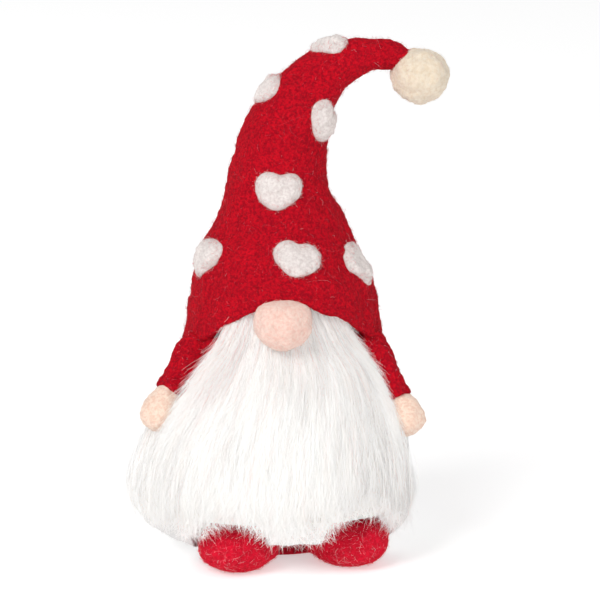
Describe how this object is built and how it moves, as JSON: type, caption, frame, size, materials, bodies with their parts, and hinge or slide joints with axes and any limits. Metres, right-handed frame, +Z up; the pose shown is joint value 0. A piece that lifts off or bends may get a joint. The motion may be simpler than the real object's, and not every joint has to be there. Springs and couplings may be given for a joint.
{
  "type": "felt gnome figurine",
  "caption": "Free-standing wool-felt gnome with a tall curled hat, puffy hearts, a long combed beard, round nose, movable arms and two feet.",
  "frame": {"origin": "on the ground, on the body's axis, in the felt pad's underside", "axes": "+Z up, -Y the way the figure faces, +X the viewer's right when facing the figure"},
  "size_m": [0.1052, 0.099, 0.1732],
  "materials": {
    "red_felt": "matt needle-felted wool",
    "white_felt": "matt needle-felted wool",
    "beard_wool": "long combed wool locks, soft sheen",
    "core_wool": "loose carded wool",
    "cream_wool": "matt needle-felted wool",
    "skin_wool": "matt needle-felted wool",
    "thread": "twisted sewing thread"
  },
  "bodies": {
    "figure": {"body_core": "core_wool", "body_coat": "white_felt", "base_pad": "red_felt", "foot_left": "red_felt", "foot_right": "red_felt", "neck_collar": "red_felt", "beard_backing": "white_felt", "beard_fleece": "beard_wool", "nose": "skin_wool", "hat": "red_felt", "hat_filling": "core_wool", "heart_low_front": "white_felt", "heart_low_right": "white_felt", "heart_low_back_right": "white_felt", "heart_low_back_left": "white_felt", "heart_low_left": "white_felt", "heart_mid_front": "white_felt", "heart_mid_back_right": "white_felt", "heart_mid_back_left": "white_felt", "heart_high_right": "white_felt", "heart_high_left": "white_felt", "heart_high_back": "white_felt", "heart_top": "white_felt"},
    "hat_end": {"hat_tip": "red_felt", "pompom": "cream_wool"},
    "tie_left": {"shoulder_tie_left": "thread"},
    "arm_left": {"sleeve_left": "red_felt", "hand_left": "skin_wool"},
    "tie_right": {"shoulder_tie_right": "thread"},
    "arm_right": {"sleeve_right": "red_felt", "hand_right": "skin_wool"}
  },
  "joints": [
    {"name": "hat_tip_bend", "type": "hinge", "parent": "figure", "child": "hat_end", "pos_m": [0.03159, -0.00132, 0.16627], "axis": [0, 1, 0], "range_deg": [-20, 25], "stiffness_Nm_per_rad": 0.02},
    {"name": "arm_left_swing", "type": "hinge", "parent": "figure", "child": "tie_left", "pos_m": [-0.03, -0.012, 0.066], "axis": [-1, 0, 0], "range_deg": [-4, 60]},
    {"name": "arm_left_lift", "type": "hinge", "parent": "tie_left", "child": "arm_left", "pos_m": [-0.03, -0.012, 0.066], "axis": [0, 1, 0], "range_deg": [0, 50]},
    {"name": "arm_right_swing", "type": "hinge", "parent": "figure", "child": "tie_right", "pos_m": [0.03, -0.012, 0.066], "axis": [-1, 0, 0], "range_deg": [-18, 60]},
    {"name": "arm_right_lift", "type": "hinge", "parent": "tie_right", "child": "arm_right", "pos_m": [0.03, -0.012, 0.066], "axis": [0, -1, 0], "range_deg": [0, 50]}
  ]
}
